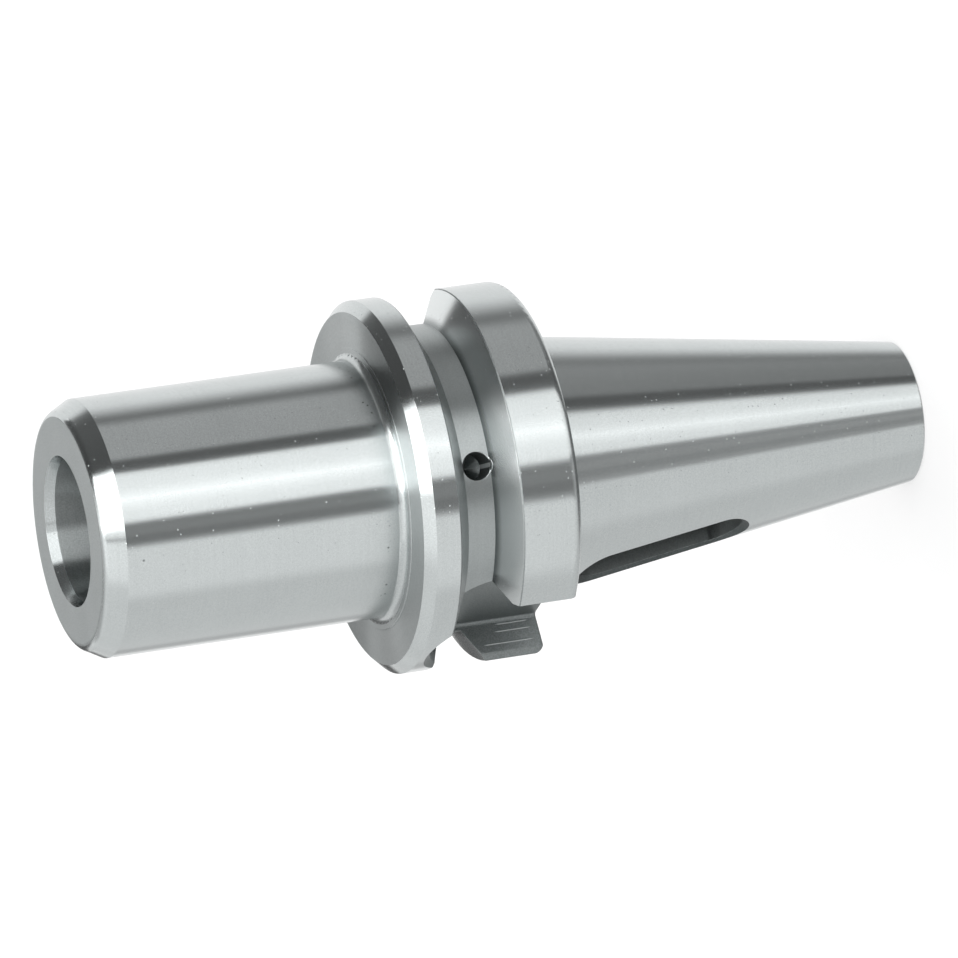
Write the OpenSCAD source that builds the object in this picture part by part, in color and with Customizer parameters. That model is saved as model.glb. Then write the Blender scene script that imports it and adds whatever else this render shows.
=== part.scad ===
// Tool holder with a steep taper shank behind a grooved flange and a Morse socket in its nose.
// One turned, milled and ground piece of steel. The axis is Z and the nose points up.
// The origin is the centre of the gauge plane, where the shank has its full diameter.

/* [Shank] */
// Diameter of the shank at the gauge plane
shank_d = 31.75; // [30:0.05:34]
// Length of the shank from the gauge plane to its small end
shank_len = 48.4; // [44:0.1:56]
// Length along the axis in which the shank loses 7 mm of diameter
taper_run = 24; // [20:0.5:30]
// Edge break round the small end
shank_edge = 0.2; // [0.1:0.1:1]

/* [Flange] */
// Diameter of the flange
flange_d = 46; // [44:0.5:50]
// Bare neck between the gauge plane and the flange
neck_len = 2; // [1:0.1:4]
// Distance from the gauge plane to the front face of the flange
flange_front = 22; // [21.5:0.1:28]
// Rounded edge at the back of the flange
rear_round = 1.1; // [0.3:0.1:1.5]
// Chamfer at the front of the flange
front_chamfer = 1.25; // [0.5:0.05:1.6]
// Distance from the gauge plane to the middle of the gripper groove
groove_mid = 13.6; // [13:0.1:14]
// Diameter at the bottom of the gripper groove
groove_bottom_d = 38; // [36.5:0.1:41]
// Width of the flat at the bottom of the gripper groove
groove_flat = 3.4; // [3:0.1:4.6]
// Angle between the two flanks of the gripper groove
groove_angle = 60; // [50:1:64]
// Edge break along both rims of the gripper groove
groove_edge = 0.1; // [0.05:0.05:0.4]

/* [Drive keyways] */
// Width of each keyway
key_w = 16.1; // [12:0.1:17]
// Distance from the axis to the flat floor of each keyway
key_floor = 16.3; // [16:0.05:17.5]
// Distance from the gauge plane to the middle of the round end of each keyway
key_end_mid = 10.9; // [9:0.1:11.5]
// Corner radius between floor and walls
key_corner = 0.5; // [0.3:0.1:1]
// Chamfer along the two straight edges
key_chamfer = 0.7; // [0.5:0.05:1.5]
// Depth of the chamfer round the end of each keyway
key_end_chamfer = 1.05; // [0.5:0.05:1.3]

/* [Nose] */
// Diameter of the nose
nose_d = 31.7; // [30:0.1:34]
// Distance from the gauge plane to the face of the nose
nose_len = 60; // [58:0.5:64]
// Length of the chamfer at the front of the nose
nose_chamfer_len = 2.65; // [1:0.05:4]
// Depth of that chamfer in the radius
nose_chamfer_depth = 1.45; // [0.5:0.05:2.5]
// Rounded edge between that chamfer and the face of the nose
nose_round = 1.2; // [0.4:0.1:1.6]
// Fillet between the nose and the flange
root_fillet = 0.9; // [0.6:0.1:1.8]
// Width of the narrow raised ring round the fillet
root_ring = 0.6; // [0.3:0.1:1.2]
// Height of that ring above the face of the flange
root_step = 0.12; // [0.06:0.02:0.3]

/* [Morse socket] */
// Diameter of the socket at the nose face
socket_d = 17.78; // [17:0.01:18]
// Taper of the socket, as one millimetre of diameter for this length
socket_ratio = 20.02; // [19:0.01:21]
// Diameter of the relief at the bottom of the socket
relief_d = 14.9; // [14.6:0.1:15.2]
// Depth of the socket with its relief, from the nose face
socket_depth = 67; // [64:0.5:70]
// Diameter where the lead-in opens at the nose face
lead_d = 18.5; // [18.1:0.05:20]
// Depth of the lead-in
lead_depth = 1.25; // [0.5:0.05:2]

/* [Drift slot] */
// Width of the slot for the tang and the drift
drift_w = 6.6; // [5:0.1:7]
// Length of the slot
drift_len = 22; // [20:0.1:23]
// Distance from the nose face to the near end of the slot
drift_start = 62.2; // [61:0.1:63]
// Edge break round each mouth of the slot
drift_edge = 0.5; // [0.2:0.05:0.7]

/* [Pull stud hole] */
// Tapping diameter of the threaded hole
tap_d = 10.2; // [9:0.1:11]
// Depth of the full threaded hole, from the small end
tap_depth = 24; // [22:0.1:26]
// Diameter of the pilot bore at its mouth
pilot_d = 12.5; // [11.5:0.1:13.5]
// Depth of the pilot bore
pilot_depth = 7; // [4:0.5:9]
// Depth of the centre chamfer at the mouth
pilot_chamfer = 0.5; // [0.2:0.1:0.7]

/* [Balance hole] */
// Diameter of the drilled balance hole in the gripper groove
balance_d = 3.5; // [2:0.1:3.8]
// Depth of its straight part below the groove bottom
balance_depth = 4; // [2:0.1:6]
// Direction that it faces, round the axis from the X axis
balance_angle = 251.4; // [215:0.1:325]

/* [Hidden] */
$fn = 128;

// How far each cutter runs past the surface that it leaves
run_out = 2;
// How far inside the drift slot the cutter of its edge break starts
run_in = 1;
drill_point_angle = 118;
centre_angle = 60;
taper_drop = 7;

shank_r = shank_d / 2;
shank_slope = taper_drop / 2 / taper_run;
shank_half_angle = atan(shank_slope);
shank_end = -shank_len;
shank_end_r = shank_r - shank_len * shank_slope;

flange_r = flange_d / 2;
groove_bottom_r = groove_bottom_d / 2;
groove_half_flat = groove_flat / 2;
groove_half_mouth = groove_half_flat + (flange_r - groove_bottom_r) * tan(groove_angle / 2);

nose_r = nose_d / 2;
nose_chamfer_start = nose_len - nose_chamfer_len;
nose_turn = atan(nose_chamfer_len / nose_chamfer_depth);
nose_round_r = nose_r - nose_chamfer_depth - nose_round * tan(nose_turn / 2);
nose_round_mid = nose_len - nose_round;

socket_r = socket_d / 2;
relief_r = relief_d / 2;
socket_bottom = nose_len - socket_depth;
relief_top = nose_len - (socket_r - relief_r) * 2 * socket_ratio;
lead_bottom = nose_len - lead_depth;
lead_bottom_r = socket_r - lead_depth / socket_ratio / 2;

drift_top = nose_len - drift_start;
drift_mid = drift_top - drift_len / 2;
drift_r = drift_w / 2;
drift_half_run = drift_len / 2 - drift_r;

key_r = key_w / 2;

// Length of a drill point on a hole of radius r
function drill_point(r) = r / tan(drill_point_angle / 2);

// Radius of the shank at the height z
function shank_r_at(z) = shank_r + z * shank_slope;

// Concave quarter of radius r, to add in an inside corner at the origin
module corner_fill(r) {
    difference() {
        square(r);
        translate([r, r]) circle(r);
    }
}

// Half section of everything that is turned on the outside
module turned_section() {
    polygon([
        [0, shank_end],
        [shank_end_r - shank_edge, shank_end],
        [shank_r_at(shank_end + shank_edge), shank_end + shank_edge],
        [shank_r, 0],
        [shank_r, neck_len + rear_round],
        [nose_r, flange_front - front_chamfer],
        [nose_r, nose_chamfer_start],
        [nose_round_r + nose_round * sin(nose_turn), nose_round_mid + nose_round * cos(nose_turn)],
        [nose_round_r, nose_len],
        [0, nose_len]
    ]);
    translate([nose_round_r, nose_round_mid]) circle(nose_round);
    flange_section();
    translate([0, flange_front]) square([nose_r + root_fillet + root_ring, root_step]);
    translate([nose_r, flange_front + root_step]) corner_fill(root_fillet);
}

// Half section of the flange with its gripper groove and edges
module flange_section() {
    difference() {
        polygon([
            [0, neck_len],
            [flange_r, neck_len],
            [flange_r, flange_front - front_chamfer],
            [flange_r - front_chamfer, flange_front],
            [0, flange_front]
        ]);
        translate([flange_r - rear_round, neck_len + rear_round]) mirror([0, 1]) corner_cut(rear_round);
        translate([0, groove_mid]) groove_section();
    }
}

// Sharp corner outside a convex quarter of radius r, to cut away
module corner_cut(r) {
    difference() {
        square(r + run_out);
        circle(r);
    }
}

// Section of the gripper groove about its middle, with both rims broken
module groove_section() {
    mouth_edge = groove_half_mouth + groove_edge;
    past_rim = flange_r + run_out;
    polygon([
        [groove_bottom_r, -groove_half_flat],
        [flange_r - groove_edge, -groove_half_mouth + groove_edge * tan(groove_angle / 2)],
        [flange_r, -mouth_edge],
        [past_rim, -mouth_edge],
        [past_rim, mouth_edge],
        [flange_r, mouth_edge],
        [flange_r - groove_edge, groove_half_mouth - groove_edge * tan(groove_angle / 2)],
        [groove_bottom_r, groove_half_flat]
    ]);
}

// Morse cone with its lead-in and its relief
module morse_socket() {
    above = nose_len + run_out;
    lead_slope = (lead_d / 2 - lead_bottom_r) / lead_depth;
    rotate_extrude() polygon([
        [0, socket_bottom],
        [relief_r, socket_bottom],
        [relief_r, relief_top],
        [lead_bottom_r, lead_bottom],
        [lead_d / 2 + run_out * lead_slope, above],
        [0, above]
    ]);
}

// Slot with round ends, right through the shank along X
module drift_slot() {
    translate([0, 0, drift_mid]) rotate([0, 90, 0]) {
        for (end = [-1, 1]) translate([end * drift_half_run, 0, 0])
            cylinder(h = flange_d, r = drift_r, center = true);
        cube([2 * drift_half_run, drift_w, flange_d], center = true);
    }
    for (side = [0, 180]) rotate([0, 0, side]) drift_mouth();
}

// Edge break of one mouth of the slot, cut square to the taper
module drift_mouth() {
    edge_sink = shank_r_at(drift_mid) - sqrt(pow(shank_r_at(drift_mid), 2) - pow(drift_r, 2));
    depth = edge_sink + drift_edge;
    half_run = drift_half_run / cos(shank_half_angle);
    inner = drift_r - run_in;
    outer = drift_r + depth + run_out;
    translate([shank_r_at(drift_mid), 0, drift_mid]) rotate([0, 90 + shank_half_angle, 0]) {
        for (end = [-1, 1]) translate([end * half_run, 0, -depth - run_in])
            cylinder(h = outer - inner, r1 = inner, r2 = outer);
        rotate([90, 0, 90]) linear_extrude(2 * half_run, center = true) polygon([
            [-inner, -depth - run_in],
            [inner, -depth - run_in],
            [outer, run_out],
            [-outer, run_out]
        ]);
    }
}

// Keyway for a spindle key, open to the back and round in front, facing +X
module drive_keyway() {
    top = flange_r + run_out;
    edge_u = sqrt(pow(flange_r, 2) - pow(key_r + key_chamfer, 2)) - key_chamfer;
    end_u = flange_r - key_end_chamfer;
    translate([0, 0, key_end_mid]) mirror([0, 0, 1]) linear_extrude(key_end_mid)
        for (side = [0, 1]) mirror([0, side]) translate([key_floor, 0]) mill_section(top - key_floor);
    translate([key_floor, 0, key_end_mid]) rotate([0, 90, 0]) rotate_extrude()
        rotate(90) mirror([0, 1]) mill_section(top - key_floor);
    for (side = [0, 1]) mirror([0, side, 0]) translate([0, 0, -run_out])
        linear_extrude(key_end_mid + run_out) polygon([
            [edge_u, 0],
            [edge_u, key_r],
            [top, key_r + top - edge_u],
            [top, 0]
        ]);
    translate([end_u, 0, key_end_mid]) rotate([0, 90, 0])
        cylinder(h = top - end_u, r1 = key_r, r2 = key_r + top - end_u);
}

// Half section of the milling cutter, with its rounded corner at the keyway floor
module mill_section(height) {
    translate([key_corner, 0]) square([height - key_corner, key_r]);
    square([height, key_r - key_corner]);
    translate([key_corner, key_r - key_corner]) circle(key_corner);
}

// Tapped hole with its pilot bore and centre chamfer, from the small end
module pull_stud_hole() {
    tap_r = tap_d / 2;
    pilot_r = pilot_d / 2;
    chamfer_r = pilot_chamfer * tan(centre_angle / 2);
    translate([0, 0, shank_end - run_out]) {
        cylinder(h = tap_depth + run_out, r = tap_r);
        cylinder(h = pilot_depth + run_out, r = pilot_r);
    }
    translate([0, 0, shank_end + tap_depth]) cylinder(h = drill_point(tap_r), r1 = tap_r, r2 = 0);
    translate([0, 0, shank_end - run_out]) cylinder(
        h = pilot_chamfer + run_out,
        r1 = pilot_r + chamfer_r + run_out * tan(centre_angle / 2),
        r2 = pilot_r
    );
}

// Blind hole drilled into the bottom of the gripper groove
module balance_hole() {
    hole_r = balance_d / 2;
    rotate([0, 0, balance_angle]) translate([groove_bottom_r - balance_depth, 0, groove_mid])
        rotate([0, 90, 0]) {
            cylinder(h = balance_depth + run_out, r = hole_r);
            mirror([0, 0, 1]) cylinder(h = drill_point(hole_r), r1 = hole_r, r2 = 0);
        }
}

module adapter_body() {
    color("silver") difference() {
        rotate_extrude() turned_section();
        morse_socket();
        drift_slot();
        for (side = [0, 180]) rotate([0, 0, side]) drive_keyway();
        pull_stud_hole();
        balance_hole();
    }
}

adapter_body();
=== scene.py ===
import math
import bmesh
import bpy
from mathutils import Matrix, Vector


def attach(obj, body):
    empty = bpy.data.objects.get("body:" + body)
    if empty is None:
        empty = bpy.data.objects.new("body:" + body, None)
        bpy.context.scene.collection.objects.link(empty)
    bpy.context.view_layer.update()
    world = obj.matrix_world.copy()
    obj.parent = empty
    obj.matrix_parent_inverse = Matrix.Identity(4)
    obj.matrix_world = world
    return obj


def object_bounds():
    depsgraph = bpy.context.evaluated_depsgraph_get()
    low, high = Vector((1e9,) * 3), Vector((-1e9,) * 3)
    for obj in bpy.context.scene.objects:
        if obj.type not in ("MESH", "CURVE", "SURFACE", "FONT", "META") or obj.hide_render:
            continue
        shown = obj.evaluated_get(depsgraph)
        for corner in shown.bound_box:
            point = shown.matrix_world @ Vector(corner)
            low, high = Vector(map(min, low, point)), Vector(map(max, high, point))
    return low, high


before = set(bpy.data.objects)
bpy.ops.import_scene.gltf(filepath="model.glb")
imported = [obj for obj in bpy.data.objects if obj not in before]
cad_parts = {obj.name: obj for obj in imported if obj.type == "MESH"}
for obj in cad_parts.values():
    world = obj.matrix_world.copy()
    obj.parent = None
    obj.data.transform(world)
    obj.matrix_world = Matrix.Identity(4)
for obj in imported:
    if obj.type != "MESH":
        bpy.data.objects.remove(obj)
cadLow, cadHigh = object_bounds()

mm = 0.001
scene = bpy.context.scene
scene.view_settings.view_transform = "Standard"

# sizes of the steel body in mm, as its solid has them
bodyShape = {
    "flangeRadius": 23.0,
    "flangeBack": 2.0,
    "flangeFace": 22.0,
    "grooveMiddle": 13.6,
    "grooveHalfMouth": 4.15,
    "grooveBottomRadius": 19.0,
    "grooveHalfBottom": 1.7,
    "grooveFlankRise": 60,   # degrees
    "grooveRim": 0.12,
    "keyFloor": 16.3,
    "keyHalfWidth": 8.05,
    "keyEndMiddle": 10.9,
    "keyEdge": 1.1,
    "slotHalfWidth": 3.3,
    "slotMiddle": -13.2,
    "slotHalfRun": 7.7,
    "slotEdge": 1.0,
    "noseRadius": 15.85,
    "rootRingRadius": 17.36,
    "rootTop": 23.05,
    "noseRound": 1.2,
    "socketMouthRadius": 9.3,
    "leadBottom": 58.75,
    "socketConeEnd": 2.34,
    "socketBottom": -7.0,
    "studHoleRadius": 6.6,
    "studHoleTop": -21.0,
    "tapRadius": 5.1,
    "tapFrom": -41.4,
    "tapTo": -24.4,
}
smallEnd = cadLow.z / mm
noseEnd = cadHigh.z / mm


def linearColour(text):
    channels = [int(text[i:i + 2], 16) / 255 for i in (1, 3, 5)]
    return [c / 12.92 if c <= 0.04045 else ((c + 0.055) / 1.055) ** 2.4 for c in channels] + [1.0]


def clamp(share):
    return min(1.0, max(0.0, share))


def smooth(share):
    share = clamp(share)
    return share * share * (3 - 2 * share)


def between(pair, share):
    return pair[0] + (pair[1] - pair[0]) * share


def wayTo(azimuth, elevation):
    turn, rise = math.radians(azimuth), math.radians(elevation)
    return Vector((math.cos(rise) * math.cos(turn), math.cos(rise) * math.sin(turn), math.sin(rise)))


def addNode(tree, kind, inputs=None, **settings):
    node = tree.nodes.new(kind)
    for key, value in settings.items():
        setattr(node, key, value)
    for key, value in (inputs or {}).items():
        if isinstance(value, bpy.types.NodeSocket):
            tree.links.new(value, node.inputs[key])
        else:
            node.inputs[key].default_value = value
    return node


def newMaterial(name):
    material = bpy.data.materials.new(name)
    material.use_nodes = True
    material.node_tree.nodes.clear()
    return material, material.node_tree


# camera: a long lens, rolled so that the standing part lies across the picture
cameraSet = {
    "target": (0.0, 2.3, 6.5),
    "distance": 1145.9,
    "azimuth": -110.87,
    "elevation": 18.3,
    "roll": 98.2,
    "lens": 350.8,
    "film": 36,
    "nearest": 50,
    "farthest": 20000,
}


def makeCamera():
    roll = math.radians(cameraSet["roll"])
    back = wayTo(cameraSet["azimuth"], cameraSet["elevation"])
    level = Vector((0, 0, 1)).cross(back).normalized()
    upright = back.cross(level)
    up = upright * math.cos(roll) + level * math.sin(roll)
    right = up.cross(back)
    data = bpy.data.cameras.new("camera")
    data.lens = cameraSet["lens"]
    data.sensor_width = cameraSet["film"]
    data.clip_start = cameraSet["nearest"] * mm
    data.clip_end = cameraSet["farthest"] * mm
    camera = bpy.data.objects.new("camera", data)
    scene.collection.objects.link(camera)
    place = (Vector(cameraSet["target"]) + back * cameraSet["distance"]) * mm
    camera.matrix_world = Matrix.Translation(place) @ Matrix((right, up, back)).transposed().to_4x4()
    scene.camera = camera


makeCamera()
print("camera ready")


# studio: a white floor, a pale world, two soft lamps, and curved cards that only the polished steel sees
studio = {
    "floorSize": 6.0,
    "floorColour": "#F7F7F7",
    "floorShade": 0.35,      # share of the floor that takes light, and so the shadow
    "worldStrength": 0.75,
    "lamps": {"lampFront": 20, "lampTop": 150},     # degrees round from the camera
    "lampHeight": 1.2,
    "lampReach": 0.7,
    "lampSide": 1.0,
    "lampPower": 9.0,
    "cardDistance": 3.0,
    "cardStep": 0.05,        # each card hangs this much nearer than the one before it
    "cardInside": 24,        # strips across a card between its faded edges
    "cardEdge": 6,           # strips across a faded edge
}

# Cards, from the farthest to the nearest. All but glow are in degrees, seen from the part.
# left, right: where its sides are, round from the camera, at its bottom and top
# rise: how high its bottom and top are
# soft: faded width at its left, right, bottom and top
# glow: its level at its bottom and top
studioCards = [
    {"name": "paleWall", "left": (-150, -150), "right": (-26, -26), "rise": (-90, 90),
     "soft": (14, 14, 0, 0), "glow": (0.62, 1.02)},
    {"name": "paleBack", "left": (-160, -160), "right": (-146, -146), "rise": (-6, 14),
     "soft": (6, 6, 8, 8), "glow": (0.78, 0.78)},
    {"name": "dimCorner", "left": (-158, -158), "right": (-145, -145), "rise": (-90, -6),
     "soft": (8, 10, 0, 10), "glow": (0.52, 0.52)},
    {"name": "tableEdge", "left": (-70, -70), "right": (-22, -22), "rise": (-60, 12),
     "soft": (14, 6, 10, 12), "glow": (0.66, 1.18)},
    {"name": "frontTop", "left": (-50, -90), "right": (0, 0), "rise": (14, 90),
     "soft": (16, 4, 22, 0), "glow": (1.00, 1.50)},
    {"name": "gap", "left": (-31, -18), "right": (9, 2), "rise": (-60, 4),
     "soft": (4, 2, 10, 26), "glow": (0.62, 0.03)},
    {"name": "gapEdgeLeft", "left": (-19, -18), "right": (-14, -13), "rise": (-60, 4),
     "soft": (3, 3, 10, 26), "glow": (0.54, 0.00)},
    {"name": "gapEdgeRight", "left": (-2, -6), "right": (9, 2), "rise": (-60, 4),
     "soft": (3, 2, 10, 26), "glow": (0.50, 0.00)},
    {"name": "frontSeam", "left": (-17.5, -17.5), "right": (-15, -15), "rise": (22, 62),
     "soft": (1, 1, 8, 8), "glow": (0.15, 0.15)},
    {"name": "backCorner", "left": (183, 183), "right": (198, 198), "rise": (-11, 22),
     "soft": (8, 6, 5, 6), "glow": (0.12, 0.12)},
    {"name": "backTop", "left": (-178, -178), "right": (-140, -128), "rise": (24, 76),
     "soft": (8, 10, 10, 8), "glow": (0.50, 0.60)},
    {"name": "mainBox", "left": (5.4, -3.6), "right": (44.5, 44.5), "rise": (-60, 12),
     "soft": (1.2, 1.5, 6, 4), "glow": (0.98, 1.50)},
    {"name": "mainMid", "left": (-2, -2), "right": (44, 48.4), "rise": (11, 34),
     "soft": (2, 2, 4, 2), "glow": (1.50, 2.00)},
    {"name": "mainTop", "left": (-2, -20), "right": (48.4, 95.5), "rise": (33, 90),
     "soft": (2, 2, 2, 0), "glow": (2.80, 5.50)},
    {"name": "mainGlow", "left": (13, 13), "right": (27, 27), "rise": (-60, 12),
     "soft": (12, 12, 6, 4), "glow": (1.10, 1.80)},
    {"name": "glowTube", "left": (18, 18), "right": (22, 22), "rise": (-60, 12),
     "soft": (5, 5, 6, 4), "glow": (1.15, 2.10)},
    {"name": "blackFlag", "left": (44.5, 44.5), "right": (116, 116), "rise": (-90, 12),
     "soft": (1.5, 30, 0, 4), "glow": (0.14, 0.14)},
    {"name": "blackMid", "left": (46, 53), "right": (119, 151), "rise": (10, 28),
     "soft": (2, 8, 4, 2), "glow": (0.13, 0.13)},
    {"name": "blackTop", "left": (45, 81.5), "right": (169, 166), "rise": (27, 72),
     "soft": (2, 5, 3, 8), "glow": (0.11, 0.06)},
    {"name": "overhead", "left": (30, 30), "right": (175, 175), "rise": (74, 90),
     "soft": (10, 10, 6, 0), "glow": (1.30, 1.30)},
    {"name": "greyCard", "left": (63, 55), "right": (100, 100), "rise": (-55, 0),
     "soft": (5, 14, 4, 12), "glow": (0.00, 0.75)},
    {"name": "underside", "left": (-180, -180), "right": (180, 180), "rise": (-90, -66),
     "soft": (0, 0, 0, 14), "glow": (0.12, 0.12)},
]


def makeCardPaper():
    material, tree = newMaterial("cardPaper")
    glow = addNode(tree, "ShaderNodeAttribute", attribute_name="glow")
    cover = addNode(tree, "ShaderNodeAttribute", attribute_name="cover")
    lit = addNode(tree, "ShaderNodeEmission", {
        "Color": linearColour("#FFFFFF"), "Strength": glow.outputs["Fac"],
    })
    clear = addNode(tree, "ShaderNodeBsdfTransparent")
    paper = addNode(tree, "ShaderNodeMixShader", {
        0: cover.outputs["Fac"], 1: clear.outputs[0], 2: lit.outputs[0],
    })
    addNode(tree, "ShaderNodeOutputMaterial", {"Surface": paper.outputs[0]})
    return material


def spread(low, high, softLow, softHigh):
    # places from edge to edge, close together where the card fades, each with how solid it is there
    start, end = low - softLow / 2, high + softHigh / 2
    places = {start: 0.0 if softLow else 1.0, end: 0.0 if softHigh else 1.0}
    for i in range(1, studio["cardEdge"] + 1):
        share = i / studio["cardEdge"]
        places[start + softLow * share] = smooth(share) if softLow else 1.0
        places[end - softHigh * share] = smooth(share) if softHigh else 1.0
    inner, outer = start + softLow, end - softHigh
    for i in range(1, studio["cardInside"]):
        places[inner + (outer - inner) * i / studio["cardInside"]] = 1.0
    return sorted(places.items())


def makeCard(card, distance, material):
    centre = Vector(cameraSet["target"]) * mm
    softLeft, softRight, softBottom, softTop = card["soft"]
    low, high = card["rise"]
    rows = [(e, cover) for e, cover in spread(low, high, softBottom, softTop) if -90 <= e <= 90]
    points, glows, covers = [], [], []
    for elevation, rowCover in rows:
        share = (elevation - low) / (high - low)
        columns = spread(between(card["left"], share), between(card["right"], share), softLeft, softRight)
        for azimuth, columnCover in columns:
            points.append(centre + wayTo(azimuth + cameraSet["azimuth"], elevation) * distance)
            glows.append(between(card["glow"], clamp(share)))
            covers.append(rowCover * columnCover)
    wide = len(columns)
    corners = [row * wide + column for row in range(len(rows) - 1) for column in range(wide - 1)]
    faces = [(a, a + 1, a + wide + 1, a + wide) for a in corners]
    mesh = bpy.data.meshes.new(card["name"])
    mesh.from_pydata(points, [], faces)
    mesh.attributes.new("glow", "FLOAT", "POINT").data.foreach_set("value", glows)
    mesh.attributes.new("cover", "FLOAT", "POINT").data.foreach_set("value", covers)
    mesh.materials.append(material)
    panel = bpy.data.objects.new(card["name"], mesh)
    scene.collection.objects.link(panel)
    panel.visible_camera = False
    panel.visible_diffuse = False
    panel.visible_shadow = False


def makeCards():
    paper = makeCardPaper()
    for order, card in enumerate(studioCards):
        makeCard(card, studio["cardDistance"] - studio["cardStep"] * order, paper)


def seenDirectly(tree):
    # 1 where the eye, a reflection or glass looks at the background, 0 where its light falls on something
    path = addNode(tree, "ShaderNodeLightPath").outputs
    seen = addNode(tree, "ShaderNodeMath", {
        0: path["Is Camera Ray"], 1: path["Is Glossy Ray"],
    }, operation="MAXIMUM")
    return addNode(tree, "ShaderNodeMath", {
        0: seen.outputs[0], 1: path["Is Transmission Ray"],
    }, operation="MAXIMUM").outputs[0]


def makeFloor():
    half = studio["floorSize"] / 2
    mesh = bpy.data.meshes.new("floor")
    height = cadLow.z
    corners = [(-half, -half, height), (half, -half, height), (half, half, height), (-half, half, height)]
    mesh.from_pydata(corners, [], [(0, 1, 2, 3)])
    material, tree = newMaterial("whiteFloor")
    side = addNode(tree, "ShaderNodeNewGeometry")
    matt = addNode(tree, "ShaderNodeBsdfDiffuse", {"Color": linearColour(studio["floorColour"])})
    white = addNode(tree, "ShaderNodeEmission", {"Color": linearColour("#FFFFFF"), "Strength": 1.0})
    seen = addNode(tree, "ShaderNodeMixShader", {
        0: studio["floorShade"], 1: white.outputs[0], 2: matt.outputs[0],
    })
    front = addNode(tree, "ShaderNodeMixShader", {
        0: seenDirectly(tree), 1: matt.outputs[0], 2: seen.outputs[0],
    })
    clear = addNode(tree, "ShaderNodeBsdfTransparent")
    both = addNode(tree, "ShaderNodeMixShader", {
        0: side.outputs["Backfacing"], 1: front.outputs[0], 2: clear.outputs[0],
    })
    addNode(tree, "ShaderNodeOutputMaterial", {"Surface": both.outputs[0]})
    mesh.materials.append(material)
    floor = bpy.data.objects.new("floor", mesh)
    scene.collection.objects.link(floor)
    floor.visible_glossy = False      # the steel sees the pale cards below the floor's level too


def makeWorld():
    world = bpy.data.worlds.new("world")
    world.use_nodes = True
    tree = world.node_tree
    tree.nodes.clear()
    plain = addNode(tree, "ShaderNodeBackground", {
        "Color": linearColour("#FFFFFF"), "Strength": studio["worldStrength"],
    })
    white = addNode(tree, "ShaderNodeBackground", {"Color": linearColour("#FFFFFF"), "Strength": 1.0})
    both = addNode(tree, "ShaderNodeMixShader", {
        0: seenDirectly(tree), 1: plain.outputs[0], 2: white.outputs[0],
    })
    addNode(tree, "ShaderNodeOutputWorld", {"Surface": both.outputs[0]})
    scene.world = world


def makeLamps():
    for name, azimuth in studio["lamps"].items():
        data = bpy.data.lights.new(name, "AREA")
        data.size = studio["lampSide"]
        data.energy = studio["lampPower"]
        lamp = bpy.data.objects.new(name, data)
        lamp.location = wayTo(cameraSet["azimuth"] + azimuth, 0) * studio["lampReach"]
        lamp.location.z = studio["lampHeight"]
        lamp.rotation_euler = lamp.location.to_track_quat("Z", "Y").to_euler()
        lamp.visible_glossy = False
        scene.collection.objects.link(lamp)


makeCards()
makeFloor()
makeWorld()
makeLamps()
print("studio ready")


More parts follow.
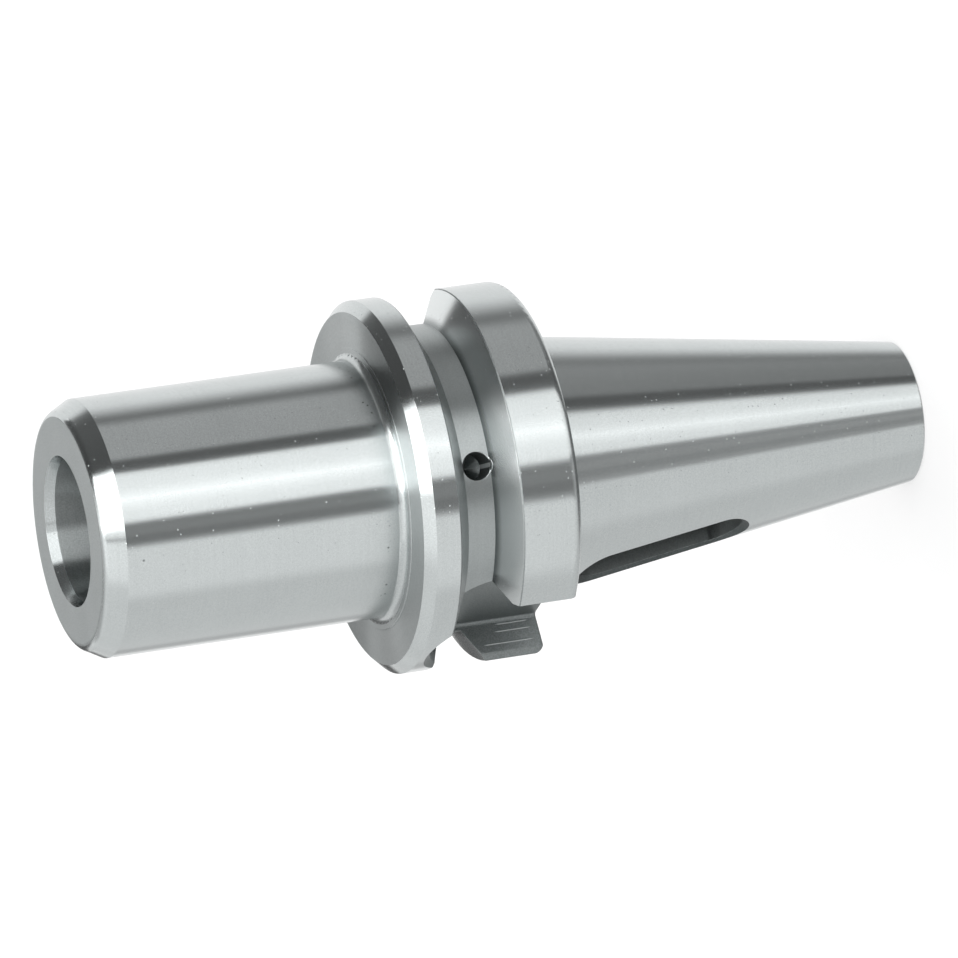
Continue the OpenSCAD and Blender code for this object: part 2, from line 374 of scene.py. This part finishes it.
# Finishes. All of them are one hardened alloy tool steel, bare and lightly oiled, and differ by the last cut.
# lay: whether the marks run round the axis or lie evenly
# grind: spacing of the marks in mm, a few times the real one so that they show
# slope: how steep their sides are, in degrees
# edge: radius in mm over which corners are worn round
# nicks: how steep small dents are, in degrees
# lean: degrees by which the long side of each turned ring leans out from the axis
# cornerShade: width in mm of the painted shade in the groove's corner
steelFinishes = {
    # cylindrical grinding: bright, with hair-fine rings that smear reflections along the axis only
    "groundSteel": {
        "colour": "#CED3D3", "shade": "#C4C9C9", "roughness": 0.20, "anisotropic": 0.97,
        "lay": "round", "grind": 0.25, "slope": 0.25, "edge": 0.06, "nicks": 14.0,
    },
    # facing with a single point: greyer, with rings that draw a highlight out into a fan
    "facedSteel": {
        "colour": "#B3B8B8", "shade": "#A8ADAD", "roughness": 0.36, "anisotropic": 1.0,
        "lay": "round", "grind": 0.25, "slope": 0.4, "edge": 0.06, "nicks": 10.0, "lean": 6.0,
    },
    # flat grinding of the front face after hardening: dull, with an even fine grain
    "dullSteel": {
        "colour": "#B2B7B7", "shade": "#9EA3A3", "roughness": 0.42, "anisotropic": 0.0,
        "lay": "even", "grind": 0.18, "slope": 3.0, "edge": 0.03, "nicks": 4.0,
    },
    # form turning of the groove's rear flank: smooth, with tight dark and light bands, and painted shade at
    # its foot
    "formedSteel": {
        "colour": "#E6EAEA", "shade": "#DCE0E0", "roughness": 0.21, "anisotropic": 0.92,
        "lay": "round", "grind": 0.25, "slope": 0.12, "edge": 0.06, "nicks": 10.0, "cornerShade": 1.1,
    },
    # the groove's bottom and front flank, turned and left so: duller, their bands run into each other
    "bottomSteel": {
        "colour": "#AAAFAF", "shade": "#9FA4A4", "roughness": 0.36, "anisotropic": 0.55,
        "lay": "round", "grind": 0.25, "slope": 0.6, "edge": 0.06, "nicks": 6.0,
    },
    # finish turning of the fillet at the nose root: a thin line that catches the light
    "rootSteel": {
        "colour": "#C8CDCD", "shade": "#BCC1C1", "roughness": 0.24, "anisotropic": 0.8,
        "lay": "round", "grind": 0.25, "slope": 0.8, "edge": 0.12, "nicks": 4.0,
    },
    # end milling of the keyways: dull and rough, with a colour darkened as painted shade
    "milledSteelShaded": {
        "colour": "#8E9393", "shade": "#787D7D", "roughness": 0.46, "anisotropic": 0.0,
        "lay": "even", "grind": 0.3, "slope": 2.5, "edge": 0.30, "nicks": 6.0,
    },
    # milling of the narrow slot, and filing of the groove's rims: rougher, and even from every side
    "slottedSteel": {
        "colour": "#A0A5A5", "shade": "#8A8F8F", "roughness": 0.50, "anisotropic": 0.0,
        "lay": "even", "grind": 0.3, "slope": 3.0, "edge": 0.10, "nicks": 6.0,
    },
    # the slot's broken edges: a dark colour that is painted shade
    "slotEdgeShaded": {
        "colour": "#626767", "shade": "#4E5353", "roughness": 0.50, "anisotropic": 0.0,
        "lay": "even", "grind": 0.3, "slope": 2.0, "edge": 0.10, "nicks": 6.0,
    },
    # drilling of the balance hole: a torn, unpolished wall and drill point, with a colour darkened as painted
    # shade in the hole
    "drilledSteelShaded": {
        "colour": "#7C8181", "shade": "#666B6B", "roughness": 0.62, "anisotropic": 0.0,
        "lay": "even", "grind": 0.3, "slope": 4.0, "edge": 0.10, "nicks": 6.0,
    },
    # turned lead-in of the socket, rubbed bright by the tools that slid over it
    "leadSteel": {
        "colour": "#C2C7C7", "shade": "#B4B9B9", "roughness": 0.18, "anisotropic": 0.8,
        "lay": "round", "grind": 0.25, "slope": 0.3, "edge": 0.06, "nicks": 6.0,
    },
    # taper boring: fine rings, which send light from the mouth back out along the axis
    "socketSteel": {
        "colour": "#B8BDBD", "shade": "#9DA2A2", "roughness": 0.35, "anisotropic": 1.0,
        "lay": "round", "grind": 0.25, "slope": 2.0, "edge": 0.30, "nicks": 8.0,
    },
    # drilling and boring of the stud hole and the socket's bottom: dark, oily walls that catch little light
    "boredSteel": {
        "colour": "#B2B7B7", "shade": "#8E9393", "roughness": 0.34, "anisotropic": 0.5,
        "lay": "round", "grind": 0.5, "slope": 3.0, "edge": 0.08, "nicks": 6.0,
    },
}

# Small marks.
# spacing, width: in mm, between the places where one may be, and of the mark
# share: part of the places that have one
# ragged: how far its outline wanders, as a share of its width

# dents from handling, drawn about twice the real size so that they show
nickMarks = {"spacing": 0.6, "width": 0.11, "share": 0.22, "ragged": 0.35}
# pinholes of rust: a few on every surface, and a crowd where the wheel ran out beside the nose root
rustMarks = {"spacing": 5.0, "width": 0.24, "share": 0.07, "ragged": 0.5}
rootMarks = {"spacing": 0.6, "width": 0.20, "share": 0.45, "ragged": 0.5, "from": 23.7, "to": 24.7}
rustColour = "#4A4E4E"
# painted shade: the colour that the foot of the groove's rear flank darkens to, in the corner by the groove's
# bottom
cornerShadeColour = "#8A8F8F"

# The tone of the metal wanders between shade and colour. rings, speckle and patches are the parts that the
# marks, a fine speckle and broad patches have in it, and speckleSize and patchSize are their sizes in mm.
grain = {
    "rings": 0.20,
    "speckle": 0.60,
    "patches": 0.20,
    "speckleSize": 0.17,
    "patchSize": 5.56,
    "range": (0.35, 0.65),        # the mixed tone's lowest and highest level
    "roughness": (1.08, 0.92),    # the roughness is multiplied by this in the darkest and the lightest tone
}


def scaled(tree, vector, size):
    factor = 1 / (size * mm)
    return addNode(tree, "ShaderNodeVectorMath", {0: vector, 3: factor}, operation="SCALE").outputs[0]


def awayFromAxis(tree, place):
    # the level way out from the axis, as long as the radius
    return addNode(tree, "ShaderNodeVectorMath", {0: place, 1: (1, 1, 0)}, operation="MULTIPLY").outputs[0]


def ringCoordinates(tree, place, pitch):
    # one step across the rings, and the place round the axis as a circle, so that no seam shows
    # this share of the radius is added to the height, so that flat faces and cones have rings too
    radiusShare = 0.6
    out = awayFromAxis(tree, place)
    radius = addNode(tree, "ShaderNodeVectorMath", {0: out}, operation="LENGTH").outputs["Value"]
    around = addNode(tree, "ShaderNodeVectorMath", {0: out}, operation="NORMALIZE").outputs[0]
    turn = addNode(tree, "ShaderNodeSeparateXYZ", {0: around}).outputs
    height = addNode(tree, "ShaderNodeSeparateXYZ", {0: place}).outputs[2]
    along = addNode(tree, "ShaderNodeMath", {0: radius, 1: radiusShare, 2: height}, operation="MULTIPLY_ADD")
    step = addNode(tree, "ShaderNodeMath", {0: along.outputs[0], 1: 1 / (pitch * mm)}, operation="MULTIPLY")
    return addNode(tree, "ShaderNodeCombineXYZ", {0: step.outputs[0], 1: turn[0], 2: turn[1]}).outputs[0]


def spots(tree, place, marks):
    # ragged spots: 1 in the middle of each, 0 outside, and only in the share of the places that has one
    edges = addNode(tree, "ShaderNodeTexNoise", {
        "Vector": scaled(tree, place, marks["width"]), "Scale": 1.0, "Detail": 2.0,
    })
    bend = marks["ragged"] * marks["width"] / marks["spacing"]
    shifted = addNode(tree, "ShaderNodeVectorMath", {
        0: edges.outputs["Color"], 1: (bend, bend, bend), 2: scaled(tree, place, marks["spacing"]),
    }, operation="MULTIPLY_ADD")
    cells = addNode(tree, "ShaderNodeTexVoronoi", {"Vector": shifted.outputs[0], "Scale": 1.0})
    inside = addNode(tree, "ShaderNodeMapRange", {
        "Value": cells.outputs["Distance"], "From Min": 0.0, "From Max": marks["width"] / marks["spacing"],
        "To Min": 1.0, "To Max": 0.0,
    }, interpolation_type="SMOOTHSTEP")
    draw = addNode(tree, "ShaderNodeSeparateColor", {0: cells.outputs["Color"]})
    picked = addNode(tree, "ShaderNodeMath", {0: draw.outputs[0], 1: marks["share"]}, operation="LESS_THAN")
    return addNode(tree, "ShaderNodeMath", {
        0: inside.outputs[0], 1: picked.outputs[0],
    }, operation="MULTIPLY").outputs[0]


def rustSpots(tree, place):
    height = addNode(tree, "ShaderNodeSeparateXYZ", {0: place}).outputs[2]
    above = addNode(tree, "ShaderNodeMath", {0: height, 1: rootMarks["from"] * mm}, operation="GREATER_THAN")
    below = addNode(tree, "ShaderNodeMath", {0: height, 1: rootMarks["to"] * mm}, operation="LESS_THAN")
    band = addNode(tree, "ShaderNodeMath", {0: above.outputs[0], 1: below.outputs[0]}, operation="MULTIPLY")
    crowd = addNode(tree, "ShaderNodeMath", {
        0: spots(tree, place, rootMarks), 1: band.outputs[0],
    }, operation="MULTIPLY")
    return addNode(tree, "ShaderNodeMath", {
        0: crowd.outputs[0], 1: spots(tree, place, rustMarks),
    }, operation="MAXIMUM").outputs[0]


def mixedTone(tree, place, marks):
    speckle = addNode(tree, "ShaderNodeTexNoise", {
        "Vector": scaled(tree, place, grain["speckleSize"]), "Scale": 1.0, "Detail": 1.0,
    })
    patches = addNode(tree, "ShaderNodeTexNoise", {
        "Vector": scaled(tree, place, grain["patchSize"]), "Scale": 1.0, "Detail": 4.0,
    })
    tone = 0.0
    for noise, share in ((patches, "patches"), (speckle, "speckle"), (marks, "rings")):
        tone = addNode(tree, "ShaderNodeMath", {
            0: noise.outputs["Fac"], 1: grain[share], 2: tone,
        }, operation="MULTIPLY_ADD").outputs[0]
    return tone


def steelColour(tree, finish, place, tone):
    low, high = grain["range"]
    toned = addNode(tree, "ShaderNodeMapRange", {"Value": tone, "From Min": low, "From Max": high})
    clean = addNode(tree, "ShaderNodeMix", {
        0: toned.outputs[0], 6: linearColour(finish["shade"]), 7: linearColour(finish["colour"]),
    }, data_type="RGBA")
    colour = addNode(tree, "ShaderNodeMix", {
        0: rustSpots(tree, place), 6: clean.outputs[2], 7: linearColour(rustColour),
    }, data_type="RGBA")
    # painted shade: the colour darkens toward the groove's bottom radius, over the width that the finish
    # gives
    if "cornerShade" not in finish:
        return colour.outputs[2]
    radius = addNode(tree, "ShaderNodeVectorMath", {0: awayFromAxis(tree, place)}, operation="LENGTH")
    corner = bodyShape["grooveBottomRadius"]
    outsideCornerShade = addNode(tree, "ShaderNodeMapRange", {
        "Value": radius.outputs["Value"],
        "From Min": corner * mm, "From Max": (corner + finish["cornerShade"]) * mm,
    }, interpolation_type="SMOOTHSTEP")
    return addNode(tree, "ShaderNodeMix", {
        0: outsideCornerShade.outputs[0], 6: linearColour(cornerShadeColour), 7: colour.outputs[2],
    }, data_type="RGBA").outputs[2]


def steelNormal(tree, finish, place, marks):
    facing = addNode(tree, "ShaderNodeBevel", {"Radius": finish["edge"] * mm}, samples=6).outputs[0]
    if "lean" in finish:
        slant = math.tan(math.radians(finish["lean"]))
        out = addNode(tree, "ShaderNodeVectorMath", {0: awayFromAxis(tree, place)}, operation="NORMALIZE")
        leaning = addNode(tree, "ShaderNodeVectorMath", {
            0: out.outputs[0], 1: (slant, slant, slant), 2: facing,
        }, operation="MULTIPLY_ADD").outputs[0]
        facing = addNode(tree, "ShaderNodeVectorMath", {0: leaning}, operation="NORMALIZE").outputs[0]
    ringed = addNode(tree, "ShaderNodeBump", {
        "Strength": 1.0, "Distance": finish["grind"] * mm * math.tan(math.radians(finish["slope"])),
        "Height": marks.outputs["Fac"], "Normal": facing,
    })
    nick = addNode(tree, "ShaderNodeMath", {0: spots(tree, place, nickMarks), 1: -1.0}, operation="MULTIPLY")
    return addNode(tree, "ShaderNodeBump", {
        "Strength": 1.0, "Distance": nickMarks["width"] * mm * math.tan(math.radians(finish["nicks"])),
        "Height": nick.outputs[0], "Normal": ringed.outputs[0],
    }).outputs[0]


def makeSteel(name):
    finish = steelFinishes[name]
    material, tree = newMaterial(name)
    place = addNode(tree, "ShaderNodeTexCoord").outputs["Object"]
    if finish["lay"] == "round":
        lay = ringCoordinates(tree, place, finish["grind"])
    else:
        lay = scaled(tree, place, finish["grind"])
    marks = addNode(tree, "ShaderNodeTexNoise", {
        "Vector": lay, "Scale": 1.0, "Detail": 3.0, "Roughness": 0.6,
    })
    tone = mixedTone(tree, place, marks)
    low, high = grain["range"]
    darkest, lightest = grain["roughness"]
    rough = addNode(tree, "ShaderNodeMapRange", {
        "Value": tone, "From Min": low, "From Max": high,
        "To Min": finish["roughness"] * darkest, "To Max": finish["roughness"] * lightest,
    })
    tangent = addNode(tree, "ShaderNodeTangent", direction_type="RADIAL", axis="Z")
    steel = addNode(tree, "ShaderNodeBsdfPrincipled", {
        "Base Color": steelColour(tree, finish, place, tone),
        "Metallic": 1.0,
        "Roughness": rough.outputs[0],
        "Anisotropic": finish["anisotropic"],
        "Anisotropic Rotation": 0.25,     # a quarter turn: highlights smear across the rings
        "Tangent": tangent.outputs[0],
        "Normal": steelNormal(tree, finish, place, marks),
    })
    addNode(tree, "ShaderNodeOutputMaterial", {"Surface": steel.outputs[0]})
    return material


steels = {name: makeSteel(name) for name in steelFinishes}
print("steels ready")

# How a face is told apart: touch is a tolerance in mm, the rest are limits for parts of the face's normal.
faceTests = {
    "touch": 0.01,
    "level": 0.99,           # above it the face is flat and level, as the flange's face and both ends
    "faceEdge": 0.97,        # above it the nose's rounded edge has the finish of the nose face
    "chamfer": 0.05,         # the keyway's chamfers are within this of 45 degrees to the X axis
    "slotEdge": 0.85,        # below it, along X, a face beside the slot is the slot's broken edge
    "inward": 0.1,           # below it, away from the axis, the face is the socket's wall or bottom
    "holeWall": 0.4,         # below it, away from the axis, a face in the groove is in the balance hole
    "bottom": 0.9,           # above it, away from the axis, a face in the groove is its bottom
}


def cutOf(x, y, z, radius, outward, normal):
    # the milled cuts and the bores, or None
    shape, tests = bodyShape, faceTests
    touch = tests["touch"]
    if radius < shape["studHoleRadius"] and smallEnd + touch < z < shape["studHoleTop"]:
        return "boredSteel"
    keySide = math.hypot(y, max(0.0, z - shape["keyEndMiddle"]))
    inKeyway = abs(x) > shape["keyFloor"] - touch and z > shape["flangeBack"] - touch
    if inKeyway and keySide < shape["keyHalfWidth"] + touch:
        return "milledSteelShaded"
    onChamfer = abs(abs(normal.x) - math.sqrt(0.5)) < tests["chamfer"]
    if inKeyway and onChamfer and keySide < shape["keyHalfWidth"] + shape["keyEdge"]:
        return "milledSteelShaded"
    slotSide = math.hypot(y, max(0.0, abs(z - shape["slotMiddle"]) - shape["slotHalfRun"]))
    if z < 0 and slotSide < shape["slotHalfWidth"] + touch:
        return "slottedSteel"
    onSlotEdge = slotSide < shape["slotHalfWidth"] + shape["slotEdge"] and abs(normal.x) < tests["slotEdge"]
    if z < 0 and onSlotEdge:
        return "slotEdgeShaded"
    inSocket = radius < shape["socketMouthRadius"] and outward < tests["inward"]
    if inSocket and shape["socketBottom"] - touch < z < noseEnd - touch:
        if z > shape["leadBottom"]:
            return "leadSteel"
        return "socketSteel" if z > shape["socketConeEnd"] else "boredSteel"
    return None


def turnedOf(z, radius, outward, normal):
    # the turned and ground surfaces
    shape, tests = bodyShape, faceTests
    touch = tests["touch"]
    if normal.z > tests["faceEdge"] and z > noseEnd - shape["noseRound"]:
        return "dullSteel"
    level = abs(normal.z) > tests["level"]
    inFillet = shape["flangeFace"] + touch < z < shape["rootTop"] and radius < shape["rootRingRadius"]
    if inFillet and not level:
        return "groundSteel" if radius < shape["noseRadius"] + touch else "rootSteel"
    if level:
        return "facedSteel"
    inGroove = abs(z - shape["grooveMiddle"]) < shape["grooveHalfMouth"]
    if not inGroove or radius > shape["flangeRadius"] - 2 * touch:
        return "groundSteel"
    if radius > shape["flangeRadius"] - shape["grooveRim"]:
        return "slottedSteel"
    if outward < tests["holeWall"]:
        return "drilledSteelShaded"
    return "bottomSteel" if outward > tests["bottom"] or normal.z < 0 else "formedSteel"


def finishOf(centre, normal):
    # the last cut that a spot of the body saw, told by where it lies and which way it faces
    x, y, z = centre / mm
    radius = math.hypot(x, y)
    outward = (normal.x * x + normal.y * y) / max(radius, mm)
    return cutOf(x, y, z, radius, outward, normal) or turnedOf(z, radius, outward, normal)


def dressBody():
    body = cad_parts["adapter_body"]
    names = list(steels)
    body.data.materials.clear()
    for name in names:
        body.data.materials.append(steels[name])
    counts = dict.fromkeys(names, 0)
    for face in body.data.polygons:
        name = finishOf(face.center, face.normal)
        face.material_index = names.index(name)
        counts[name] += 1
    print("body dressed", counts)


dressBody()


def loftRings(name, lofts, finish):
    # closed tubes through rings of points in mm, all in one piece that is fixed to the body
    work = bmesh.new()
    for rings in lofts:
        made = [[work.verts.new(Vector(point) * mm) for point in ring] for ring in rings]
        wide = len(made[0])
        for one, two in zip(made, made[1:]):
            for k in range(wide):
                work.faces.new((one[k], two[k], two[(k + 1) % wide], one[(k + 1) % wide]))
        work.faces.new(made[0])
        work.faces.new(made[-1][::-1])
    bmesh.ops.recalc_face_normals(work, faces=work.faces)
    mesh = bpy.data.meshes.new(name)
    work.to_mesh(mesh)
    work.free()
    mesh.materials.append(steels[finish])
    piece = bpy.data.objects.new(name, mesh)
    scene.collection.objects.link(piece)
    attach(piece, "root")
    return piece


# right-hand thread in the stud hole, as one ridge that stands in from the drilled wall
studThread = {
    "pitch": 1.75,
    "height": 0.35,
    "crest": 0.25,
    "root": 1.3,
    "sunk": 0.05,
    "startGap": 0.3,
    "endGap": 0.8,
    "growTurns": 0.5,        # turns over which each end of the ridge rises to its full height
    "stepsRound": 64,
}


def makeThread():
    thread = studThread
    start = bodyShape["tapFrom"] + thread["startGap"]
    end = bodyShape["tapTo"] - thread["endGap"]
    turns = (end - start) / thread["pitch"]
    steps = int(turns * thread["stepsRound"])
    growSteps = thread["growTurns"] * thread["stepsRound"]
    wall = bodyShape["tapRadius"]
    outer, halfRoot, halfCrest = wall + thread["sunk"], thread["root"] / 2, thread["crest"] / 2
    rings = []
    for i in range(steps + 1):
        angle = 2 * math.pi * turns * i / steps
        z = start + thread["pitch"] * turns * i / steps
        inner = wall - thread["height"] * min(1.0, i / growSteps, (steps - i) / growSteps)
        section = ((outer, -halfRoot), (inner, -halfCrest), (inner, halfCrest), (outer, halfRoot))
        rings.append([(r * math.cos(angle), r * math.sin(angle), z + rise) for r, rise in section])
    loftRings("stud_thread", [rings], "boredSteel")
    print("thread cut, turns", round(turns, 1))


makeThread()

# three soft ridges that the milling cutter left along one wall of each keyway
keywayRidges = {
    "width": 0.24,
    "proud": 0.07,
    "fromFloor": (0.69, 1.64, 3.19),
    "start": (3.0, 2.9, 2.9),
    "end": (7.4, 7.8, 9.5),
    "fade": 0.6,             # length over which each end sinks into the wall
    "tip": 0.15,             # size of the very end, as a share of the ridge's
    "sides": 12,
    "stations": 24,
}


def makeKeywayRidges():
    ridge = keywayRidges
    angles = [2 * math.pi * j / ridge["sides"] for j in range(ridge["sides"])]
    for side, name in ((-1, "left"), (1, "right")):
        lofts = []
        for rise, start, end in zip(ridge["fromFloor"], ridge["start"], ridge["end"]):
            x = side * (bodyShape["keyFloor"] + rise)
            y = -side * bodyShape["keyHalfWidth"]
            rings = []
            for i in range(ridge["stations"] + 1):
                z = start + (end - start) * i / ridge["stations"]
                size = between((ridge["tip"], 1), smooth(min(z - start, end - z) / ridge["fade"]))
                halfWidth, proud = ridge["width"] / 2 * size, ridge["proud"] * size
                rings.append([(x + halfWidth * math.cos(a), y + proud * math.sin(a), z) for a in angles])
            lofts.append(rings)
        piece = loftRings(f"keyway_ridges_{name}", lofts, "facedSteel")
        piece.data.shade_smooth()
    print("keyway ridges added")


makeKeywayRidges()

# thin burr that the drill raised round the rear half of the balance hole's rim
balanceBurr = {
    "azimuth": 251.4,
    "holeRadius": 1.75,
    "width": 0.22,
    "proud": 0.05,
    "reach": (-160, -20),    # degrees round the hole, 90 being the side toward the nose
    "tip": 0.1,              # size of the very end, as a share of the burr's
    "sides": 10,
    "stations": 28,
}


def makeBalanceBurr():
    burr = balanceBurr
    out, side, along = wayTo(burr["azimuth"], 0), wayTo(burr["azimuth"] + 90, 0), Vector((0, 0, 1))
    flank = math.tan(math.radians(bodyShape["grooveFlankRise"]))
    angles = [2 * math.pi * j / burr["sides"] for j in range(burr["sides"])]
    rings = []
    for i in range(burr["stations"] + 1):
        share = i / burr["stations"]
        turn = math.radians(between(burr["reach"], share))
        size = between((burr["tip"], 1), math.sin(math.pi * share))
        ring = []
        for angle in angles:
            reach = burr["holeRadius"] + burr["width"] / 2 * (1 + size * math.cos(angle))
            across, up = reach * math.cos(turn), reach * math.sin(turn)
            onFlank = max(0, abs(up) - bodyShape["grooveHalfBottom"])
            radius = bodyShape["grooveBottomRadius"] + onFlank * flank
            height = math.sqrt(radius ** 2 - across ** 2) + burr["proud"] * size * math.sin(angle)
            ring.append(out * height + side * across + along * (bodyShape["grooveMiddle"] + up))
        rings.append(ring)
    piece = loftRings("balance_burr", [rings], "groundSteel")
    piece.data.shade_smooth()
    print("balance hole burr added")


makeBalanceBurr()
